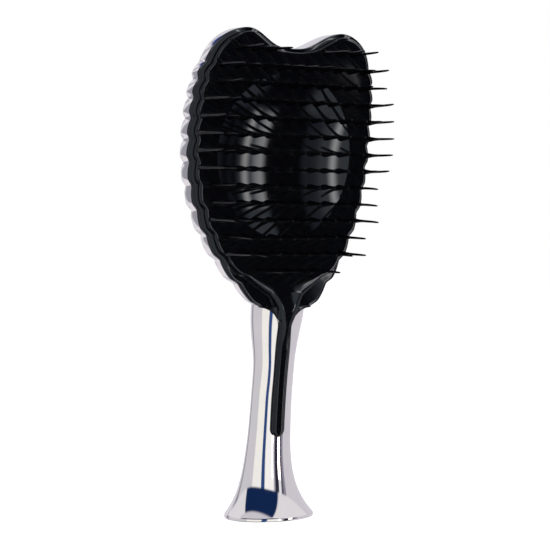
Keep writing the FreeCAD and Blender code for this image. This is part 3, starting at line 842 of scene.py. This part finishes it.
# Two more rings, close together at the neck, keep the end of that front level.
for z in sorted([*heights, NECK_Z - 0.03, NECK_Z + 0.02]):
    seat = YOKE_SEAT * fade(z, NECK_Z - 38, NECK_Z - 18)
    ring = [(x, y + seat * min(y - axis_y(z), 0.0) ** 2 / half_depth(z) ** 2, z)
            for x, y, z in oval_ring(z)]
    if z > NECK_Z:
        ring = [(x, max(y, face_arc(z, PLATE_THICKNESS)), z) for x, y, z in ring]
    rings.append(ring)
plated_handle = ring_mesh("plated_handle", rings, MIRROR_PLATE,
                          cap_last=(0, axis_y(RIDGE_END_Z), RIDGE_END_Z),
                          cap_first=(0, 0, CAP_HEIGHT))
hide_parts("back_shell")

# %% Cap under the foot
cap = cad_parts["foot_cap"]
cap.data.materials.clear()
cap.data.materials.append(TEXTURED_BLACK)
print("the cap keeps the packed solid's mesh, with", TEXTURED_BLACK.name)

# %% [markdown]
# ## Bristles
#
# The real bristles are 149 flexible nylon tapers on a square pitch, each with a small cone at
# its root. Geometry Nodes suit this: one bristle is made once, as a curve whose radius follows
# a formula, and set on points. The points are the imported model's own bristles, so each stands
# exactly where the solid does. A seeded random bend stops them from looking printed.

# %% Feet of the bristles
FOOT_REACH = 10 * MM        # points this far behind the tip belong to the foot


def bristle_feet():
    """Foot of each packed bristle: the middle of the end that is furthest back."""
    solid = bmesh.new()
    solid.from_mesh(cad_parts["bristles"].data)
    bmesh.ops.remove_doubles(solid, verts=solid.verts, dist=WELD_DISTANCE / 2)
    feet, seen = [], set()
    for start in solid.verts:
        if start.index in seen:
            continue
        group, queue = [], [start]
        seen.add(start.index)
        while queue:
            vert = queue.pop()
            group.append(vert.co.copy())
            for link in vert.link_edges:
                other = link.other_vert(vert)
                if other.index not in seen:
                    seen.add(other.index)
                    queue.append(other)
        tip_y = min(p.y for p in group)
        foot = [p for p in group if p.y > tip_y + FOOT_REACH]
        feet.append(sum(foot, Vector()) / len(foot))
    solid.free()
    return feet


feet = bristle_feet()
print(len(feet), "bristles found in the packed model")

# %% [markdown]
# The tree has two parts. The first makes one bristle: a straight line whose points crowd
# towards the root, where the cone is, with a radius that tapers, swells in the cone and ends
# bluntly. The second sets it on every foot, and pushes it aside by a random direction that
# grows with the square of the distance from the root, as a bent rod does.

# %% One bristle
MATHS = "ShaderNodeMath"
SCALED = "ShaderNodeVectorMath"
FORWARDS = (0.0, -1.0, 0.0)
CROWD_POWER = 1.8
BLUNT_POWER, BLUNT_TIP = 60.0, 0.75     # the last point has this part of the tip's radius


def bristle_line(tree, given):
    """Straight line from root to tip, crowded at the root, with the way along it and the
    distance from the root."""
    tip = add(tree, SCALED, {"operation": "SCALE", 0: FORWARDS}, Scale=given["Length"])
    line = add(tree, "GeometryNodeCurvePrimitiveLine", End=tip.outputs[0])
    fine = add(tree, "GeometryNodeResampleCurve", {"Count": 18}, Curve=line.outputs[0])
    even = add(tree, "GeometryNodeSplineParameter").outputs["Factor"]
    along = add(tree, MATHS, {"operation": "POWER", 0: even, 1: CROWD_POWER}).outputs[0]
    from_root = add(tree, MATHS, {"operation": "MULTIPLY", 0: along, 1: given["Length"]})
    place = add(tree, SCALED, {"operation": "SCALE", 0: FORWARDS}, Scale=from_root.outputs[0])
    crowded = add(tree, "GeometryNodeSetPosition", Geometry=fine.outputs[0],
                  Position=place.outputs[0])
    return crowded.outputs[0], along, from_root.outputs[0]


def bristle_radius(tree, given, along, from_root):
    """Radius that tapers, swells in the cone at the root and ends bluntly."""
    narrowing = add(tree, MATHS, {"operation": "SUBTRACT", 0: given["Tip Radius"],
                                  1: given["Root Radius"]}).outputs[0]
    narrowed = add(tree, MATHS, {"operation": "MULTIPLY", 0: narrowing, 1: along}).outputs[0]
    taper = add(tree, MATHS, {"operation": "ADD", 0: given["Root Radius"], 1: narrowed})
    cones = add(tree, MATHS, {"operation": "DIVIDE", 0: from_root, 1: given["Cone Length"]})
    fading = add(tree, MATHS, {"operation": "POWER", 0: 1 / math.e, 1: cones.outputs[0]})
    cone = add(tree, MATHS, {"operation": "MULTIPLY", 0: given["Cone Radius"],
                             1: fading.outputs[0]})
    whole = add(tree, MATHS, {"operation": "ADD", 0: taper.outputs[0], 1: cone.outputs[0]})
    at_tip = add(tree, MATHS, {"operation": "POWER", 0: along, 1: BLUNT_POWER}).outputs[0]
    blunt = add(tree, MATHS, {"operation": "SUBTRACT", 0: 1.0, 1: at_tip}).outputs[0]
    least = add(tree, MATHS, {"operation": "MAXIMUM", 0: blunt, 1: BLUNT_TIP}).outputs[0]
    return add(tree, MATHS, {"operation": "MULTIPLY", 0: whole.outputs[0], 1: least}).outputs[0]


def one_bristle(tree, given):
    """Mesh of one bristle that points forwards, with the way along it stored on its points."""
    line, along, from_root = bristle_line(tree, given)
    thick = add(tree, "GeometryNodeSetCurveRadius", Curve=line,
                Radius=bristle_radius(tree, given, along, from_root))
    marked = add(tree, "GeometryNodeStoreNamedAttribute",
                 {"data_type": "FLOAT", "domain": "POINT", "Name": "along"},
                 Geometry=thick.outputs[0], Value=along)
    ring = add(tree, "GeometryNodeCurvePrimitiveCircle", {"Resolution": 10, "Radius": 1.0})
    width = add(tree, "GeometryNodeInputRadius").outputs[0]
    tube = add(tree, "GeometryNodeCurveToMesh", {"Fill Caps": True},
               Curve=marked.outputs[0], Profile_Curve=ring.outputs[0], Scale=width)
    return tube.outputs[0]


print("a bristle's points crowd at its root with a power of", CROWD_POWER)

# %% Bristle tree
SIZES = {"Length": 20.7, "Root Radius": 0.68, "Tip Radius": 0.45, "Cone Radius": 0.75,
         "Cone Length": 1.3, "Bend": 0.45}


def bristle_tree():
    """Tree that sets one tapered, slightly bent bristle on every point."""
    tree = bpy.data.node_groups.new("bristle_field", "GeometryNodeTree")
    socket = tree.interface.new_socket
    socket("Points", in_out="INPUT", socket_type="NodeSocketGeometry")
    for name, size in SIZES.items():
        made = socket(name, in_out="INPUT", socket_type="NodeSocketFloat")
        made.default_value = size * MM
    socket("Seed", in_out="INPUT", socket_type="NodeSocketInt").default_value = 7
    socket("Finish", in_out="INPUT", socket_type="NodeSocketMaterial")
    socket("Bristles", in_out="OUTPUT", socket_type="NodeSocketGeometry")
    given = add(tree, "NodeGroupInput").outputs

    ends = {"data_type": "FLOAT_VECTOR", 0: (-1.0, 0.0, -1.0), 1: (1.0, 0.0, 1.0)}
    aim = add(tree, "FunctionNodeRandomValue", ends, Seed=given["Seed"])
    aimed = add(tree, "GeometryNodeStoreNamedAttribute",
                {"data_type": "FLOAT_VECTOR", "domain": "POINT", "Name": "sway"},
                Geometry=given["Points"], Value=aim.outputs[0])
    field = add(tree, "GeometryNodeInstanceOnPoints", Points=aimed.outputs[0],
                Instance=one_bristle(tree, given))
    real = add(tree, "GeometryNodeRealizeInstances", Geometry=field.outputs[0])

    along = add(tree, "GeometryNodeInputNamedAttribute", {"data_type": "FLOAT", "Name": "along"})
    sway = add(tree, "GeometryNodeInputNamedAttribute",
               {"data_type": "FLOAT_VECTOR", "Name": "sway"})
    squared = add(tree, MATHS, {"operation": "POWER", 0: along.outputs["Attribute"], 1: 2.0})
    bend = add(tree, MATHS, {"operation": "MULTIPLY", 0: given["Bend"], 1: squared.outputs[0]})
    push = add(tree, SCALED, {"operation": "SCALE", 0: sway.outputs["Attribute"]},
               Scale=bend.outputs[0])
    bent = add(tree, "GeometryNodeSetPosition", Geometry=real.outputs[0],
               Offset=push.outputs[0])
    soft = add(tree, "GeometryNodeSetShadeSmooth", Geometry=bent.outputs[0])
    finish = add(tree, "GeometryNodeSetMaterial", Geometry=soft.outputs[0],
                 Material=given["Finish"])
    add(tree, "NodeGroupOutput", Bristles=finish.outputs[0])
    return tree


field_tree = bristle_tree()
print("the tree has", len(field_tree.nodes), "nodes")

# %% Bristles on the face
def made_plain(source, tree, values, name):
    """Runs a tree on an object and returns its result as a new object with a plain mesh."""
    modifier = source.modifiers.new("field", "NODES")
    modifier.node_group = tree
    for item in tree.interface.items_tree:
        if item.in_out == "INPUT" and item.name in values:
            modifier[item.identifier] = values[item.name]
    seen = source.evaluated_get(bpy.context.evaluated_depsgraph_get())
    mesh = bpy.data.meshes.new_from_object(seen)
    source.modifiers.remove(modifier)
    bpy.data.objects.remove(source)
    mesh.name = name
    piece = bpy.data.objects.new(name, mesh)
    bpy.context.scene.collection.objects.link(piece)
    return piece


SINK = 0.12 * MM            # the roots go this far into the face
spots = bpy.data.meshes.new("bristle_spots")
spots.from_pydata([foot + Vector((0, SINK, 0)) for foot in feet], [], [])
carrier = bpy.data.objects.new("bristle_spots", spots)
bpy.context.scene.collection.objects.link(carrier)
bristles = made_plain(carrier, field_tree, {"Finish": NYLON}, "bristle_field")
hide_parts("bristles")
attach(bristles, "root")
print("bristles:", len(bristles.data.polygons), "faces")

# %% [markdown]
# ## Studio
#
# A mirror shows the room and not itself, so the room is what gets designed. It is described
# by directions, in degrees round the brush: 0 is where the bristles point, and plus is the
# side away from the camera. A picture of a studio could light the brush too, but bands can be
# placed exactly where the real reflections are. Plated parts see all of it: lilac grey, cream
# and white walls with a navy gap. The flat of the black face looks at the dark gap at 27 to 37
# degrees, and its dish looks past both sides of that gap, at pale walls with thin strip lights.
# The camera and scattered light don't see this room: Light Path keeps the background white for
# the one and an even grey for the other.

# %% Bands of the room
# The direction in degrees at which each band starts, and its colour.
GROUND = [(-180, "E6E4EA"), (-159, "A4A4AE"), (-138, "D2D2D8"), (-52, "FAFAF4"),
          (-15, "2E4A80"), (-3, "FAFBF8"), (30, "282A3A"), (44, "D2D0D8")]
WALLS = [(-180, "F0F0F4"), (-172, "B8B8C2"), (-166, "E6E6EC"), (-159, "9A9AA4"),
         (-138, "D0D0D6"), (-52, "FAFAF4"), (-15, "2E4A80"), (-3, "FFFFFC"), (23.7, "9C9CAA"),
         (27.5, "2A2C38"), (37.4, "F0F2F8"), (43.7, "22243A"), (45.5, "6E6C80"), (47, "22243A"),
         (49, "8C8A98"), (56, "D2D0D8")]
CEILING = [(-180, "2A4488"), (-171, "E4E4E8"), (-80, "10264F"), (34, "E4E4E8"),
           (165, "2A4488")]
NADIR, ZENITH = "4A5468", "D0CED6"
# The strips are slightly warm, which the cool tint of the black face turns to white.
STRIP_LIGHTS = [(-180, "000000"), (19.3, "C8BDB0"), (20.4, "000000"), (22.7, "A49B90"),
                (23.6, "000000"), (38.0, "FFF1E1"), (39.3, "000000"), (42.0, "B8ADA1"),
                (43.0, "000000")]


def by_direction(tree, bands, turn, soft):
    """Colours of the bands by the direction. Each edge is soft over that many degrees."""
    ramp = add(tree, "ShaderNodeValToRGB", Fac=turn)
    stops = ramp.color_ramp.elements
    stops[0].color = srgb(bands[0][1])
    stops[1].position, stops[1].color = 1.0, srgb(bands[-1][1])
    for (_, before), (start, after) in zip(bands, bands[1:]):
        stops.new((start - soft + 180) / 360).color = srgb(before)
        stops.new((start + soft + 180) / 360).color = srgb(after)
    return ramp.outputs["Color"]


print(len(WALLS), "bands on the walls,", len(STRIP_LIGHTS) // 2, "strip lights")

# %% [markdown]
# From below to above, a mirror sees the nadir, the ground, the walls, the ceiling and the
# zenith. The joins are given as the height of the ray's direction, which is -1 straight down
# and 1 straight up, and each is soft between its two values.

# %% Room seen in the mirror
NADIR_ENDS = (-0.72, -0.6)
GROUND_ENDS = (-0.36, -0.31)
CEILING_STARTS = (0.45, 0.49)
ZENITH_STARTS = (0.88, 0.91)
STRIPS_START, STRIPS_END = (-0.34, -0.29), (0.2, 0.24)
ROOM_STRENGTH, STRIP_STRENGTH = 1.15, 18.0


def blend(tree, first, second, height, join):
    """First colour under a height, second colour over it."""
    part = add(tree, "ShaderNodeMapRange", {"From Min": join[0], "From Max": join[1]},
               Value=height).outputs["Result"]
    colours = {"data_type": "RGBA", 6: first, 7: second}
    return add(tree, "ShaderNodeMix", colours, Factor=part).outputs[2]


def make_room(tree):
    """Shader of what a mirror sees, from the direction of the ray."""
    way = add(tree, "ShaderNodeSeparateXYZ",
              Vector=add(tree, "ShaderNodeTexCoord").outputs["Generated"]).outputs
    front = add(tree, "ShaderNodeMath", {"operation": "MULTIPLY", 0: way["Y"], 1: -1.0})
    angle = add(tree, "ShaderNodeMath", {"operation": "ARCTAN2", 0: way["X"],
                                         1: front.outputs[0]})
    turn = add(tree, "ShaderNodeMapRange", {"From Min": -math.pi, "From Max": math.pi},
               Value=angle.outputs[0]).outputs["Result"]
    ground, walls, ceiling, strips = [
        by_direction(tree, bands, turn, soft)
        for bands, soft in ((GROUND, 1.2), (WALLS, 0.4), (CEILING, 1.2), (STRIP_LIGHTS, 0.15))]
    room = blend(tree, ground, walls, way["Z"], GROUND_ENDS)
    room = blend(tree, srgb(NADIR), room, way["Z"], NADIR_ENDS)
    room = blend(tree, room, ceiling, way["Z"], CEILING_STARTS)
    room = blend(tree, room, srgb(ZENITH), way["Z"], ZENITH_STARTS)
    black = srgb("000000")
    strips = blend(tree, black, strips, way["Z"], STRIPS_START)
    strips = blend(tree, strips, black, way["Z"], STRIPS_END)
    walls = add(tree, "ShaderNodeBackground", {"Strength": ROOM_STRENGTH}, Color=room)
    lights = add(tree, "ShaderNodeBackground", {"Strength": STRIP_STRENGTH}, Color=strips)
    both = add(tree, "ShaderNodeAddShader", {0: walls.outputs[0], 1: lights.outputs[0]})
    return both.outputs[0]


def make_world():
    """White to the camera, the room to mirrors, and an even grey to light that scatters."""
    world = bpy.data.worlds.new("studio_room")
    bpy.context.scene.world = world
    world.use_nodes = True
    tree = world.node_tree
    tree.nodes.clear()
    even = add(tree, "ShaderNodeBackground", {"Color": srgb("D8DAE0"), "Strength": 0.55})
    white = add(tree, "ShaderNodeBackground", {"Color": (1, 1, 1, 1), "Strength": 1.0})
    rays = add(tree, "ShaderNodeLightPath").outputs
    lit = add(tree, "ShaderNodeMixShader", {1: even.outputs[0], 2: make_room(tree)},
              Fac=rays["Is Glossy Ray"])
    shown = add(tree, "ShaderNodeMixShader", {1: lit.outputs[0], 2: white.outputs[0]},
                Fac=rays["Is Camera Ray"])
    add(tree, "ShaderNodeOutputWorld", Surface=shown.outputs[0])


make_world()
print("the room is ready")

# %% [markdown]
# The floor is white paper to the camera, mostly by its own glow, with enough real shading
# left in it to keep the shadow at the foot. Mirrors don't see it, as if the brush stood on
# glass. Three soft lights model the parts that scatter light.

# %% Floor
FLOOR_SIZE = 6.0            # in metres
FLOOR_Z = -0.2 * MM         # just under the foot


def make_floor():
    material, tree = new_material("white_paper")
    paper = add(tree, "ShaderNodeBsdfDiffuse", {"Color": srgb("F2F2F2")}).outputs["BSDF"]
    glow = add(tree, "ShaderNodeEmission", {"Color": (1, 1, 1, 1), "Strength": 1.25})
    glowing = add(tree, "ShaderNodeMixShader", {"Fac": 0.72, 1: paper,
                                                2: glow.outputs["Emission"]})
    seen = add(tree, "ShaderNodeLightPath").outputs["Is Camera Ray"]
    chosen = add(tree, "ShaderNodeMixShader", {1: paper, 2: glowing.outputs["Shader"]}, Fac=seen)
    add(tree, "ShaderNodeOutputMaterial", Surface=chosen.outputs["Shader"])
    mesh = bpy.data.meshes.new("floor")
    half = FLOOR_SIZE / 2
    mesh.from_pydata([(-half, -half, 0), (half, -half, 0), (half, half, 0), (-half, half, 0)],
                     [], [(0, 1, 2, 3)])
    mesh.materials.append(material)
    floor = bpy.data.objects.new("floor", mesh)
    floor.location.z = FLOOR_Z
    floor.visible_glossy = False
    bpy.context.scene.collection.objects.link(floor)


make_floor()
print("the floor is", FLOOR_SIZE, "m square")

# %% Soft lights
def soft_light(name, place, aim, wide, tall, power):
    """Rectangular soft light, turned to face a point, with sizes in metres and power in
    watts."""
    lamp = bpy.data.lights.new(name, "AREA")
    lamp.shape = "RECTANGLE"
    lamp.size, lamp.size_y, lamp.energy = wide, tall, power
    light = bpy.data.objects.new(name, lamp)
    light.location = place
    way = Vector(aim) - Vector(place)
    light.rotation_euler = way.to_track_quat("-Z", "Y").to_euler()
    light.visible_glossy = False
    bpy.context.scene.collection.objects.link(light)
    print(name, "at", place)


HEAD_MIDDLE = (0.0, 0.0, 0.15)      # the lights aim here, in metres
soft_light("key_light", (-0.9, -0.9, 0.9), HEAD_MIDDLE, 0.5, 0.7, 14)
soft_light("fill_light", (1.0, -0.6, 0.5), HEAD_MIDDLE, 0.4, 0.9, 8)
soft_light("top_light", (0.0, 0.2, 1.3), HEAD_MIDDLE, 0.8, 0.8, 10)
